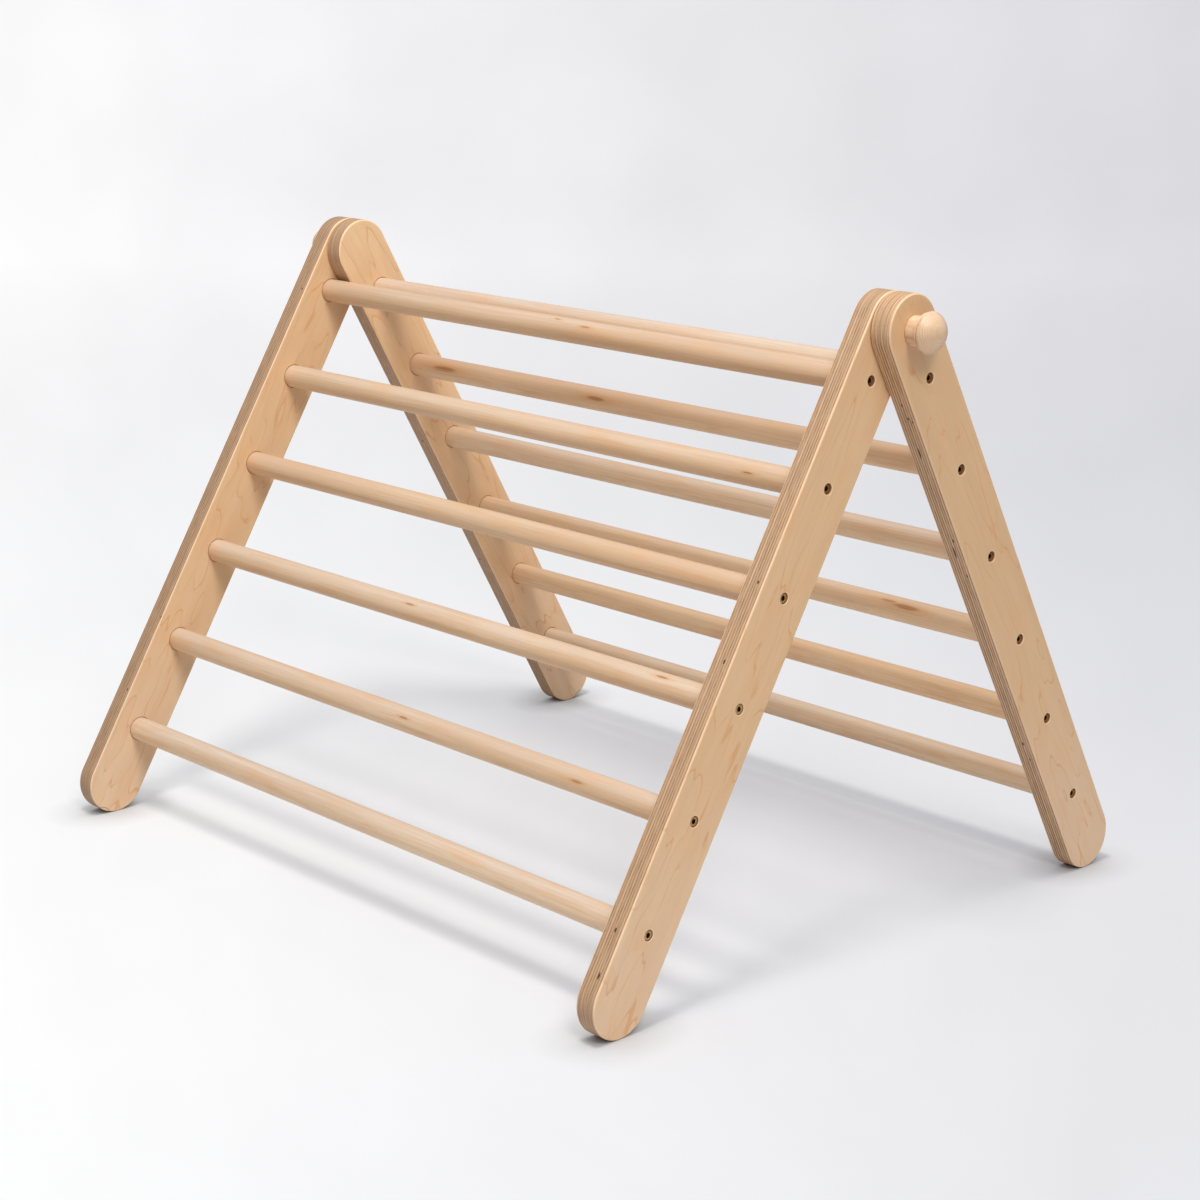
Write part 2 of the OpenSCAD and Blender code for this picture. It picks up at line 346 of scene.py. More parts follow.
def add_rung(side, number):
    """One rung, with its own grain place: x along the grain, and y and z from the tree's middle."""
    ladder, node = LADDERS[side], f"{side}_rung_{number}"
    low, high = reach(node)
    centre = np.array([low[0], *middle(node)[1:]])
    points = turned(rung_profile(high[0] - low[0]), centre, 1, RUNG_TURNS)
    x, y, z = points[..., 0], points[..., 1] - centre[1], points[..., 2] - centre[2]
    depth, turn, off_middle, painted_sheen, painted_bounce = RUNG_WOOD[side][number - 1]
    turn = math.radians(turn)
    order = number + (RUNG_COUNT if side == "rear" else 0)
    grain = np.stack([x + RUNG_APART * order,
                      y * math.cos(turn) - z * math.sin(turn) + off_middle * MM,
                      y * math.sin(turn) + z * math.cos(turn)], -1)
    # the upper side's painted sheen and the lower side's painted light from the floor ride with the rung
    notes = {"grain_place": grain, "upward": z / RUNG_RADIUS, "wood_depth": depth,
             "painted_sheen": painted_sheen, "painted_bounce": painted_bounce}
    knots = RUNG_KNOTS.get(node, (NO_KNOT, NO_KNOT))
    for name, (along, around, size) in zip(("first_knot", "second_knot"), knots):
        around = math.radians(around)
        notes[name] = np.stack([x - along, y - RUNG_RADIUS * math.cos(around),
                                z - RUNG_RADIUS * math.sin(around)], -1) / (size * MM)
    add_piece(node, "dowel", points, notes, dowel_birch(), ladder.body)


# ---- rung screws ----

SCREW = {"head": 5.75 * MM, "bevel": 0.7 * MM, "crown": 0.15 * MM, "height": 3.5 * MM,
         "shank": 3.2 * MM, "tip": 3 * MM, "hex_flat": 2.77 * MM, "hex_depth": 2.6 * MM,
         "lead_in": 3.75 * MM, "lead_depth": 0.5 * MM}

# How much deeper each head's top lies than the plain screw's, in millimetres from the top rung
# down, where it shows
SCREW_SUNK = {"front_right_screws": (0.8, 0.6, -0.5, -1.1, -0.7, -1.0),
              "rear_right_screws": (0.8, 0.8, 0.7, 0.5, 0.6, 0.3)}
# The depths in millimetres at which a head is shaded by 0 and by 1
UNSHADED, SHADED = -1.2, 0.8


def screw_grid(length, twist, sunk):
    """A screw as rows round its axis: from the middle of the hexagon's floor up its walls, at
    flat / cos(a - nearest flat's middle), over the lead-in cone and the head, whose top is sunk,
    and down the shank to the tip: the turn, the radius and the distance from the plain head's top."""
    angle = np.linspace(0, 2 * np.pi, SCREW_TURNS, endpoint=False)[:, None]
    sixth = np.pi / 3
    own = np.mod(angle + twist + sixth / 2, sixth) - sixth / 2
    hexagon = SCREW["hex_flat"] / np.cos(own)
    outside = [SCREW["lead_in"], SCREW["head"] - SCREW["bevel"], SCREW["head"], SCREW["head"],
               SCREW["shank"], SCREW["shank"], 0]
    radius = np.hstack([0 * hexagon, hexagon, hexagon, np.tile(outside, (SCREW_TURNS, 1))])
    top = sunk + np.array([SCREW["hex_depth"], SCREW["hex_depth"], SCREW["lead_depth"], 0,
                           SCREW["crown"], SCREW["bevel"]])
    depth = np.append(top, [SCREW["height"], SCREW["height"], length - SCREW["tip"], length])
    return angle, radius, np.broadcast_to(depth, radius.shape)


def add_screws(side, hand, seed):
    """The six screws of one rail, each turned to its own stop."""
    ladder, node = LADDERS[side], f"{side}_{hand}_screws"
    low, high = reach(node)
    head_x, inward = outer_face(node, hand)
    twists = np.random.default_rng(seed).uniform(0, np.pi / 3, RUNG_COUNT)
    depths = np.array(SCREW_SUNK.get(node, (0,) * RUNG_COUNT)) * MM
    copies, places, shades = [], [], []
    for twist, drop, sunk in zip(twists, ladder.drops, depths):
        angle, radius, depth = screw_grid(high[0] - low[0], twist, sunk)
        across, along = radius * np.cos(angle), drop + radius * np.sin(angle)
        copies.append(ladder.place(across, along, head_x + inward * depth))
        places.append(np.stack([across, along - drop, depth - sunk], -1))
        shades.append(np.full(radius.shape, (sunk / MM - UNSHADED) / (SHADED - UNSHADED)))
    notes = {"screw_place": np.stack(places), "screw_shade": np.stack(shades)}
    add_piece(node, "brass", np.stack(copies), notes, aged_brass(), ladder.body)


# ---- hand knobs ----

KNOB = {"neck": 16.75 * MM, "neck_length": 16.5 * MM, "bead": 22 * MM, "bead_thickness": 2.5 * MM,
        "head": 23.5 * MM, "rim_round": 4 * MM, "ease": 1.0 * MM, "recess": 11.3 * MM,
        "recess_depth": 1.6 * MM, "bore": 4.05 * MM, "bore_depth": 24 * MM}
# How far the neck draws in below its full radius, half way up and under the bead
KNOB_WAIST, KNOB_THROAT = 0.1 * MM, 0.5 * MM
PITH = np.array([0, 2.6, -1.8]) * MM   # the tree's middle, from the line that a knob is turned on
KNOB_APART = 3.1                       # metres of wood that keep the two knobs' figure apart


def knob_profile(length):
    """The outline from the bottom of the stud's hole to the top of the dome: distance from the neck's
    face, and radius. The dome is the circle that meets the axis at the knob's length and touches
    the rim's circle."""
    k = KNOB
    rim = (k["neck_length"] + k["bead_thickness"] + k["rim_round"], k["head"] - k["rim_round"])
    rise = length - rim[0]
    dome = (rim[1] ** 2 + rise ** 2 - k["rim_round"] ** 2) / (2 * (rise - k["rim_round"]))
    dome_centre = length - dome
    touch = math.degrees(math.atan2(rim[1], rim[0] - dome_centre))
    bead = k["bead_thickness"] / 2
    return joined(
        ([k["bore_depth"], k["bore_depth"], k["recess_depth"]], [0, k["bore"], k["bore"]]),
        ([k["recess_depth"], 0], [k["recess"], k["recess"]]),
        ([0], [k["neck"] - k["ease"] - 0.3 * MM]),
        arc((k["ease"], k["neck"] - k["ease"]), k["ease"], 180, 90, 5),
        ([k["neck_length"] * 0.55, k["neck_length"] - 0.4 * MM],
         [k["neck"] - KNOB_WAIST, k["neck"] - KNOB_THROAT]),
        arc((k["neck_length"] + bead, k["bead"] - bead), bead, 155, 25, 12),
        arc(rim, k["rim_round"], 180 - 12, touch, 24),
        arc((dome_centre, 0), dome, touch - 1, 0, 40))


def add_knob(hand, body):
    """One turned hand knob, with the growth rings running round the line it is turned on."""
    node = f"{hand}_knob"
    low, high = reach(node)
    face_x, toward, order = (high[0], -1, 1) if hand == "left" else (low[0], 1, 2)
    centre = np.array([face_x, *PIVOT[1:]])
    points = turned(knob_profile(high[0] - low[0]), centre, toward, KNOB_TURNS)
    grain = points - centre + PITH + np.array([KNOB_APART, 0, 0]) * order
    add_piece(node, "turned", points, {"grain_place": grain}, knob_birch(), body)


# ---- building node trees ----

class Tree:
    """Adds nodes to a node tree. Most calls return the new node's first output."""

    def __init__(self, tree):
        self.tree = tree

    def node(self, kind, inputs=None, **settings):
        """A node with its properties set, and its inputs given values or joined to sockets."""
        node = self.tree.nodes.new("ShaderNode" + kind)
        for name, value in settings.items():
            setattr(node, name, value)
        for name, value in (inputs or {}).items():
            self.fill(node.inputs[name], value)
        return node

    def fill(self, socket, value):
        if isinstance(value, bpy.types.NodeSocket):
            self.tree.links.new(value, socket)
        else:
            socket.default_value = value

    def math(self, operation, *values, clamp=False):
        inputs = dict(enumerate(values))
        return self.node("Math", inputs, operation=operation, use_clamp=clamp).outputs[0]

    def times(self, first, second):
        return self.math("MULTIPLY", first, second)

    def minus(self, first, second):
        return self.math("SUBTRACT", first, second)

    def scaled(self, value, factor, start):
        """The value times a factor, plus a start."""
        return self.math("MULTIPLY_ADD", value, factor, start)

    def most(self, first, second):
        return self.math("MAXIMUM", first, second)

    def least(self, first, second):
        return self.math("MINIMUM", first, second)

    def vector(self, operation, *values):
        return self.node("VectorMath", dict(enumerate(values)), operation=operation).outputs[0]

    def length(self, value):
        return self.node("VectorMath", {0: value}, operation="LENGTH").outputs["Value"]

    def parts(self, value):
        return self.node("SeparateXYZ", {0: value}).outputs

    def whole(self, x, y, z):
        return self.node("CombineXYZ", {0: x, 1: y, 2: z}).outputs[0]

    def noise(self, place, steps=None, scale=1.0, detail=2.0, roughness=0.5, distortion=0.0):
        """Noise at a place, each of whose directions is first multiplied by its steps."""
        if steps:
            place = self.vector("MULTIPLY", place, steps)
        return self.node("TexNoise", {"Vector": place, "Scale": scale, "Detail": detail,
                                      "Roughness": roughness, "Distortion": distortion}).outputs[0]

    def chance(self, number):
        """A random value of its own for each whole number."""
        return self.node("TexWhiteNoise", {"W": number}, noise_dimensions="1D").outputs[0]

    def ramp(self, value, low, high, start=0.0, end=1.0):
        """The value's stretch from low to high, smoothly as start to end."""
        inputs = {"Value": value, "From Min": low, "From Max": high, "To Min": start, "To Max": end}
        return self.node("MapRange", inputs, interpolation_type="SMOOTHSTEP").outputs[0]

    def blend(self, share, first, second):
        return self.node("Mix", {0: share, 6: first, 7: second}, data_type="RGBA").outputs[2]

    def tones(self, share, pair):
        """From the first to the second of two display tones."""
        return self.blend(share, *(srgb(*tone) for tone in pair))

    def tinted(self, colour, tones, *layers):
        """The colour under layers, each a mask, a share of it and the name of its display tone."""
        for mask, share, name in layers:
            colour = self.blend(self.times(mask, share), colour, srgb(*tones[name]))
        return colour

    def note(self, name, output="Fac"):
        return self.node("Attribute", attribute_name=name).outputs[output]

    def own_place(self, name):
        """A place kept with the mesh in metres, as millimetres."""
        place = self.node("VectorMath", {0: self.note(name, "Vector"), "Scale": 1 / MM}, operation="SCALE")
        return place.outputs[0]

    def group(self, tree, inputs):
        return self.node("Group", inputs, node_tree=tree).outputs

    def surface(self, shader, colour, rough, relief, depth, strength, constants):
        """Joins a shader's colour, roughness and bump, and sets the sockets that don't vary."""
        bump = self.node("Bump", {"Height": relief, "Distance": depth, "Strength": strength})
        self.fill(shader.inputs["Base Color"], colour)
        self.fill(shader.inputs["Roughness"], rough)
        self.fill(shader.inputs["Normal"], bump.outputs[0])
        for name, value in constants.items():
            shader.inputs[name].default_value = value


def new_group(name, places, numbers, fill):
    """A shader node group. places are its vector inputs and numbers its other inputs, and
    fill(tree, given) returns its outputs by name."""
    group = bpy.data.node_groups.new(name, "ShaderNodeTree")
    for names, kind in ((places, "Vector"), (numbers, "Float")):
        for socket in names:
            group.interface.new_socket(socket, in_out="INPUT", socket_type="NodeSocket" + kind)
    tree = Tree(group)
    results = fill(tree, group.nodes.new("NodeGroupInput").outputs)
    for socket in results:
        group.interface.new_socket(socket, in_out="OUTPUT", socket_type="NodeSocketFloat")
    ends = group.nodes.new("NodeGroupOutput").inputs
    for socket, value in results.items():
        tree.fill(ends[socket], value)
    return group


def srgb(red, green, blue):
    """A display colour of 0 to 255 values as the linear colour that shaders take."""
    level = np.array([red, green, blue]) / 255
    linear = np.where(level <= 0.04045, level / 12.92, ((level + 0.055) / 1.055) ** 2.4)
    return (*linear.tolist(), 1.0)


def finish(name, fill):
    """A material whose Principled BSDF is set up by fill(tree, shader)."""
    material = bpy.data.materials.new(name)
    material.use_nodes = True
    fill(Tree(material.node_tree), material.node_tree.nodes["Principled BSDF"])
    return material


# ---- wood shared by pieces ----

@cache
def solid_wood():
    """Group: the figure of solid wood at a place in millimetres, x along the grain and y and z from
    the tree's middle. Rings are distance from the middle over the ring width, bent by slow noise;
    fibres and flecks are noise drawn out along x."""
    def fill(tree, given):
        place = given["Place"]
        bend = tree.noise(place, (0.004, 0.03, 0.03), detail=3, roughness=0.55)
        _, y, z = tree.parts(place)
        from_middle = tree.length(tree.whole(0.0, y, z))
        bent = tree.scaled(tree.minus(bend, 0.5), given["Bend"], from_middle)
        count = tree.math("DIVIDE", bent, given["Ring Width"])
        within = tree.math("FRACT", count)
        late = tree.times(tree.ramp(within, 0.45, 0.9), tree.ramp(within, 1.0, 0.93))
        weight = tree.scaled(tree.chance(tree.math("FLOOR", count)), 0.7, 0.3)
        fine = tree.noise(place, (0.03, 2.4, 2.4), detail=3, roughness=0.6)
        broad = tree.noise(place, (0.008, 0.5, 0.5))
        fleck = tree.noise(place, (0.35, 3.1, 3.1), detail=1)
        return {"Rings": tree.times(late, weight),
                "Fibre": tree.scaled(fine, 0.6, tree.times(broad, 0.4)),
                "Flecks": tree.ramp(fleck, 0.66, 0.76),
                "Drift": tree.noise(place, (0.0035, 0.05, 0.05), detail=1)}
    return new_group("solid_wood", ["Place"], ["Ring Width", "Bend"], fill)


@cache
def ply_stack():
    """Group: which ply of the sheet a place in millimetres lies in, by its depth over the ply's
    thickness, with the plies gently waved and some thicker than others. Face is 1 in the outer
    veneers, Cross is 1 where the ply's grain runs across the rail, Heart is 1 in the middle of a
    ply's thickness, and Glue marks the thin lines between plies."""
    def fill(tree, given):
        seed, ply, thickness = given["Seed"], given["Ply"], given["Thickness"]
        u, v, depth = tree.parts(given["Place"])
        slow = tree.whole(tree.times(u, 0.03), tree.times(v, 0.012), tree.scaled(depth, 0.15, seed))
        wave = tree.times(tree.minus(tree.noise(slow, detail=1), 0.5), 0.55)
        crowd = tree.noise(tree.whole(tree.times(depth, 0.3), tree.times(seed, 5.3), 0.0), detail=1)
        wave = tree.scaled(tree.minus(crowd, 0.5), 1.5, wave)
        # the outer veneers stay as thick as the rest
        above, below = depth, tree.minus(thickness, depth)
        deep = tree.scaled(wave, tree.ramp(tree.times(above, below), 0.0, 60.0), depth)
        last = tree.minus(tree.math("DIVIDE", thickness, ply), 0.01)
        count = tree.least(tree.most(tree.math("DIVIDE", deep, ply), 0.01), last)
        number = tree.math("FLOOR", count)
        within = tree.math("FRACT", count)
        border = tree.least(within, tree.minus(1.0, within))
        skin = tree.least(above, below)
        return {"Face": tree.most(tree.math("LESS_THAN", count, 1.0),
                                  tree.math("GREATER_THAN", count, tree.minus(last, 0.99))),
                "Cross": tree.math("MODULO", number, 2.0),
                "Glue": tree.times(tree.ramp(border, 0.12, 0.03), tree.ramp(skin, 0.3, 0.7)),
                "Ply Tone": tree.chance(tree.scaled(seed, 7.31, number)),
                "Heart": tree.ramp(border, 0.02, 0.3)}
    return new_group("ply_stack", ["Place"], ["Seed", "Ply", "Thickness"], fill)


@cache
def spot():
    """Group: a small oval mark. Mask is 1 within 0.6 of Centre, in units of Size along each
    direction, and fades to 0 at 1."""
    def fill(tree, given):
        away = tree.vector("SUBTRACT", given["Place"], given["Centre"])
        away = tree.vector("DIVIDE", away, given["Size"])
        return {"Mask": tree.ramp(tree.length(away), 1.0, 0.6)}
    return new_group("spot", ["Place", "Centre", "Size"], [], fill)


# ---- plywood ----

# Open voids that show in the plies, by the rail's seed: the place along it and the depth of each
# in millimetres, and its half length along the plies
PLY_VOIDS = {
    1: [(82, 20.0, 1.6), (560, 24.6, 1.6), (664, 21.0, 1.8)],
    2: [(318, 8.0, 1.6), (410, 10.5, 2.4), (712, 11.0, 2.2), (762, 8.6, 3.2)],
    4: [(74, 14.0, 1.8), (92, 11.5, 1.5), (96, 7.0, 1.3), (140, 12.6, 6.0), (266, 9.0, 2.2),
        (284, 12.6, 7.0), (318, 6.6, 2.0), (586, 12.0, 2.4), (612, 9.6, 1.8)],
    3: [(300, 12.0, 2.0), (520, 9.0, 1.6)],
}
RAIL_APART = 5000.0   # millimetres that keep one rail's voids off the other rails

# Display tones of the plies where they are cut. A pair is a pale and a deep piece of the same wood.
# The tone for voids is painted shade inside the open voids
PLY = {"side": ((228, 192, 155), (206, 166, 124)), "end": ((166, 112, 70), (94, 56, 34)),
       "tip": (190, 144, 98), "streak": (108, 70, 46), "fibre": (226, 194, 158), "glue": (104, 62, 38),
       "deep": (112, 82, 58), "void_shade": (58, 36, 26)}
# Display tones of the face veneer. Some are painted light and shade: a highlight on the sanded arris
# and round each screw's hole, light from the floor towards the foot, and shade round each socket and
# down each screw's hole
VENEER = {"pale": ((243, 203, 157), (235, 192, 146)), "deep": (214, 176, 133), "foot": (238, 214, 192),
          "glow": (224, 170, 114), "cloud": (228, 172, 118), "flame": (212, 144, 82),
          "fibre": (200, 158, 118), "fleck": (170, 122, 84), "bare_wood_and_highlight": (252, 230, 200),
          "socket": (120, 80, 50), "bore": (168, 108, 54)}


def ply_edge(tree, place, moved, seed, plies, fibre, tip, end_grain):
    """The colour of the plies where they are cut: end grain is deeper in the heart of a ply, and
    streaks, glue lines and open voids lie over it, the voids painted near black as the shade inside them."""
    side_wood, end_wood = (tree.tones(plies["Ply Tone"], PLY[cut]) for cut in ("side", "end"))
    ragged = tree.ramp(tree.noise(moved, (0.02, 0.06, 0.9), roughness=0.6), 0.3, 0.62)
    ragged = tree.scaled(ragged, 0.6, 0.4)
    heart = tree.times(tree.times(end_grain, plies["Heart"]), ragged)
    streaks = tree.noise(moved, (0.02, 0.03, 1.3), roughness=0.7)
    edge = tree.tinted(
        tree.blend(heart, side_wood, end_wood), PLY, (tip, 0.35, "tip"),
        (tree.ramp(streaks, 0.45, 0.68), 0.42, "streak"), (tree.ramp(fibre, 0.35, 0.68), 0.22, "fibre"),
        (plies["Glue"], tree.scaled(plies["Ply Tone"], 0.3, 0.2), "glue"))
    edge = tree.blend(tree.note("edge_depth"), edge, srgb(*PLY["deep"]))
    apart = tree.vector("ADD", place, tree.whole(0.0, tree.times(seed, RAIL_APART), 0.0))
    voids = 0.0
    for rail, marks in PLY_VOIDS.items():
        for along, deep, half in marks:
            centre = (float(RAIL_RADIUS / MM), along + RAIL_APART * rail, deep)
            mark = tree.group(spot(), {"Place": apart, "Centre": centre, "Size": (6, half * 1.5, 1.5)})
            voids = tree.most(voids, mark["Mask"])
    # painted shade: the open voids are near black inside
    return tree.tinted(edge, PLY, (voids, 0.92, "void_shade")), voids


def face_veneer(tree, moved, v, span, long_fibre):
    """The colour of a face: flames are the level lines of slow noise drawn out along the rail, with
    a glow before each, over soft clouds, fibres and flecks."""
    slow = tree.noise(moved, (0.016, 0.0034, 0.0), detail=3, roughness=0.42, distortion=0.12)
    level = tree.math("FRACT", tree.times(slow, 11.0))
    flame = tree.times(tree.ramp(level, 0.89, 0.96), tree.ramp(level, 1.0, 0.98))
    patchy = tree.ramp(tree.noise(moved, (0.05, 0.016, 0.0), detail=1), 0.38, 0.56)
    drift = tree.noise(moved, (0.035, 0.004, 0.0))
    cloud = tree.noise(moved, (0.03, 0.014, 0.0))
    fleck = tree.noise(moved, (1.1, 0.13, 1.0), detail=1)
    pale = tree.tones(tree.ramp(drift, 0.3, 0.7), VENEER["pale"])
    veneer = tree.blend(tree.note("face_depth"), pale, srgb(*VENEER["deep"]))
    # painted light from the floor: the face is paler towards the foot
    veneer = tree.blend(tree.ramp(v, 0.62 * span, span, 0.0, 0.3), veneer, srgb(*VENEER["foot"]))
    return tree.tinted(
        veneer, VENEER, (tree.ramp(level, 0.35, 0.97), 0.14, "glow"),
        (tree.ramp(cloud, 0.5, 0.72), 0.22, "cloud"), (flame, tree.scaled(patchy, 0.42, 0.06), "flame"),
        (tree.ramp(long_fibre, 0.42, 0.74), 0.16, "fibre"), (tree.ramp(fleck, 0.70, 0.80), 0.22, "fleck"))


@cache
def plywood():
    """Birch plywood: pale veneer with thin flame lines on the faces, painted paler towards the foot as
    light from the floor, a paler sanded arris under a painted highlight, a painted highlight round
    each screw's hole, painted shade round each socket and down each screw's hole, and striped plies
    on every edge and hole wall, darker where a ply shows its end grain."""
    def fill(tree, shader):
        place, seed = tree.own_place("rail_place"), tree.note("rail_seed")
        inset = tree.math("DIVIDE", tree.note("rail_inset"), MM)
        u, v, depth = tree.parts(place)
        radius, thickness = float(RAIL_RADIUS / MM), float(RAIL_THICKNESS / MM)
        span = float(LADDERS["front"].span / MM)
        plies = tree.group(ply_stack(), {"Place": place, "Seed": seed, "Ply": thickness / PLY_COUNT,
                                         "Thickness": thickness})
        # how squarely the edge here cuts across the rail: 0 on the straight sides, 1 at the tips
        past_end = tree.most(tree.times(v, -1 / radius), tree.times(tree.minus(v, span), 1 / radius))
        tip = tree.least(tree.most(past_end, 0.0), 1.0)
        end_grain = tree.scaled(plies["Cross"], tree.scaled(tip, -2.0, 1.0), tip)
        # fibres of the long and the cross plies, in wood of its own for each rail
        moved = tree.vector("ADD", place, tree.whole(tree.times(seed, 170.0), tree.times(seed, 900.0), 0.0))
        long_fibre = tree.noise(moved, (0.9, 0.03, 1.6), roughness=0.6)
        cross_fibre = tree.noise(moved, (0.03, 0.5, 1.6), roughness=0.6)
        fibre = tree.node("Mix", {0: plies["Cross"], 2: long_fibre, 3: cross_fibre}).outputs[0]
        edge, voids = ply_edge(tree, place, moved, seed, plies, fibre, tip, end_grain)
        veneer = face_veneer(tree, moved, v, span, long_fibre)
        # the sanded round-over shows paler wood under a painted highlight, and the rim of each screw's hole
        # shows a painted highlight
        skin = tree.least(depth, tree.minus(thickness, depth))
        arris = tree.times(tree.ramp(inset, 1.8, 1.0), tree.ramp(skin, 1.5, 1.2))
        drops = LADDERS["front"].drops / MM
        first, pitch = float(drops[0]), float(drops[1] - drops[0])
        past_first = tree.minus(v, first)
        nearest = tree.scaled(tree.math("ROUND", tree.times(past_first, 1 / pitch)), -pitch, past_first)
        from_hole = tree.length(tree.whole(u, nearest, 0.0))
        rim = tree.times(tree.ramp(from_hole, 7.8, 6.9), tree.ramp(skin, 0.8, 0.4))
        # painted highlight, partly over paler sanded wood on the arris
        bare_wood_and_highlight = tree.most(tree.times(arris, 0.2), tree.times(rim, 0.42))
        veneer = tree.blend(bare_wood_and_highlight, veneer, srgb(*VENEER["bare_wood_and_highlight"]))
        # painted shade: a dark line where each rung meets its socket, and warm brown down the wall of
        # each screw's hole
        room = tree.times(tree.ramp(from_hole, 16.5, 15.7), tree.ramp(from_hole, 14.8, 15.1))
        room = tree.times(room, tree.math("GREATER_THAN", depth, thickness / 2))
        veneer = tree.tinted(veneer, VENEER, (room, 0.6, "socket"))
        # painted shade down the wall of each screw's hole
        bore = tree.times(tree.ramp(from_hole, 7.2, 6.7), tree.ramp(skin, 0.3, 0.9))
        colour = tree.tinted(tree.blend(plies["Face"], edge, veneer), VENEER, (bore, 0.8, "bore"))
        open_grain = tree.times(end_grain, tree.minus(1.0, plies["Face"]))
        rough = tree.scaled(open_grain, 0.16, tree.scaled(fibre, 0.12, 0.42))
        sunk = tree.scaled(plies["Glue"], 0.15, tree.times(voids, 3.0))
        tree.surface(shader, colour, rough, tree.minus(tree.times(fibre, 0.25), sunk), 0.00025, 0.35,
                     {"Coat Weight": 0.1, "Coat Roughness": 0.4})
    return finish("birch_plywood", fill)


# ---- rung and knob wood ----

# Display tones of the rungs' birch, where upper is the painted sheen on top and lower the painted
# light from the floor below. A pair of tones is for little and much drift, and for weak and strong painted
# sheen
BIRCH = {"pale": ((236, 204, 166), (228, 191, 149)), "deep": ((200, 156, 114), (182, 132, 90)),
         "upper": ((176, 130, 86), (192, 191, 188)), "lower": ((255, 210, 160), (252, 229, 198)),
         "ring": (202, 152, 106), "fibre": (194, 149, 107), "fleck": (150, 100, 66),
         "flush": (218, 164, 112), "dark_streak": (140, 92, 56), "streak": (196, 148, 100),
         "near_knot": (204, 146, 86), "knot": (148, 90, 42)}
KNOT_STRETCH = (0.16, 1.0, 1.0)   # a knot's streak is drawn out along the rung


@cache
def dowel_birch():
    """Round rungs: fine straight birch, each with its own depth of colour, painted sheen on its upper
    side (a deeper tone where weak) and painted light from the floor on its lower side, some with small
    streaky knots."""
    def fill(tree, shader):
        place, depth, painted_sheen = tree.own_place("grain_place"), tree.note("wood_depth"), tree.note("painted_sheen")
        upward = tree.note("upward")
        ovals = [tree.length(tree.vector("MULTIPLY", tree.note(name, "Vector"), KNOT_STRETCH))
                 for name in ("first_knot", "second_knot")]
        oval = tree.least(*ovals)
        near_knot = tree.ramp(oval, 3.2, 0.4)
        swirl = tree.whole(0.0, tree.times(near_knot, 3.0), tree.times(near_knot, 2.0))
        wood = tree.group(solid_wood(), {"Place": tree.vector("ADD", place, swirl), "Ring Width": 2.3,
                                         "Bend": 7.0})
        # the rung's own depth of colour
        drift = tree.ramp(wood["Drift"], 0.3, 0.7)
        colour = tree.blend(depth, tree.tones(drift, BIRCH["pale"]), tree.tones(drift, BIRCH["deep"]))
        # painted sheen on the upper side: pale and grey where strong, a deeper tone where weak
        above = tree.times(tree.scaled(painted_sheen, 0.2, 0.3), tree.ramp(upward, -0.2, 0.95))
        colour = tree.blend(above, colour, tree.tones(painted_sheen, BIRCH["upper"]))
        # painted light from the floor: paler on the lower side
        below = tree.times(tree.note("painted_bounce"), tree.ramp(upward, 0.55, -0.6))
        colour = tree.blend(tree.times(below, 0.85), colour, tree.tones(painted_sheen, BIRCH["lower"]))
        # rings, fibres, flecks, streaks and knots
        flush = tree.noise(place, (0.012, 0.09, 0.09), roughness=0.55)
        streak = tree.noise(place, (0.006, 0.34, 0.34), roughness=0.6)
        dark_streak = tree.times(tree.ramp(streak, 0.52, 0.70), tree.ramp(depth, 0.4, 0.9))
        core = tree.times(tree.ramp(oval, 1.2, 0.5), tree.ramp(wood["Fibre"], 0.36, 0.52))
        colour = tree.tinted(
            colour, BIRCH, (wood["Rings"], 0.3, "ring"), (tree.ramp(wood["Fibre"], 0.42, 0.7), 0.30, "fibre"),
            (wood["Flecks"], 0.25, "fleck"), (tree.ramp(flush, 0.50, 0.68), 0.33, "flush"),
            (dark_streak, 0.35, "dark_streak"), (tree.ramp(streak, 0.46, 0.62), 0.16, "streak"),
            (tree.ramp(oval, 2.8, 0.7), 0.45, "near_knot"), (core, 0.75, "knot"))
        relief = tree.minus(tree.times(wood["Fibre"], 0.5), tree.times(wood["Flecks"], 0.4))
        tree.surface(shader, colour, tree.scaled(wood["Fibre"], 0.16, 0.42), relief, 0.0002, 0.3,
                     {"Coat Weight": 0.15, "Coat Roughness": 0.42})
    return finish("dowel_birch", fill)


# Display tones of the knobs' birch
KNOB_BIRCH = {"pale": ((227, 195, 162), (218, 183, 148)), "ring": (182, 136, 98), "fibre": (186, 144, 108),
              "chatter": (164, 120, 86)}


@cache
def knob_birch():
    """Turned knobs: growth rings round the dome, fine lathe lines round the neck, and chatter marks
    near the rim."""
    def fill(tree, shader):
        place = tree.own_place("grain_place")
        wood = tree.group(solid_wood(), {"Place": place, "Ring Width": 1.7, "Bend": 2.4})
        _, y, z = tree.parts(place)
        from_middle = tree.length(tree.whole(0.0, y, z))
        lathe = tree.noise(place, (3.2, 0.02, 0.02))
        chatter = tree.ramp(tree.noise(place, (0.9, 0.9, 0.9), detail=1), 0.55, 0.66)
        chatter = tree.times(chatter, tree.ramp(from_middle, 17.5, 19.5))
        colour = tree.tinted(
            tree.tones(tree.ramp(wood["Drift"], 0.3, 0.7), KNOB_BIRCH["pale"]), KNOB_BIRCH,
            (wood["Rings"], 0.5, "ring"), (tree.ramp(wood["Fibre"], 0.42, 0.7), 0.22, "fibre"),
            (chatter, 0.3, "chatter"))
        relief = tree.scaled(chatter, -0.8, tree.scaled(wood["Fibre"], 0.4, tree.times(lathe, 0.4)))
        tree.surface(shader, colour, tree.scaled(wood["Fibre"], 0.16, 0.4), relief, 0.0002, 0.3,
                     {"Coat Weight": 0.12, "Coat Roughness": 0.4})
    return finish("knob_birch", fill)


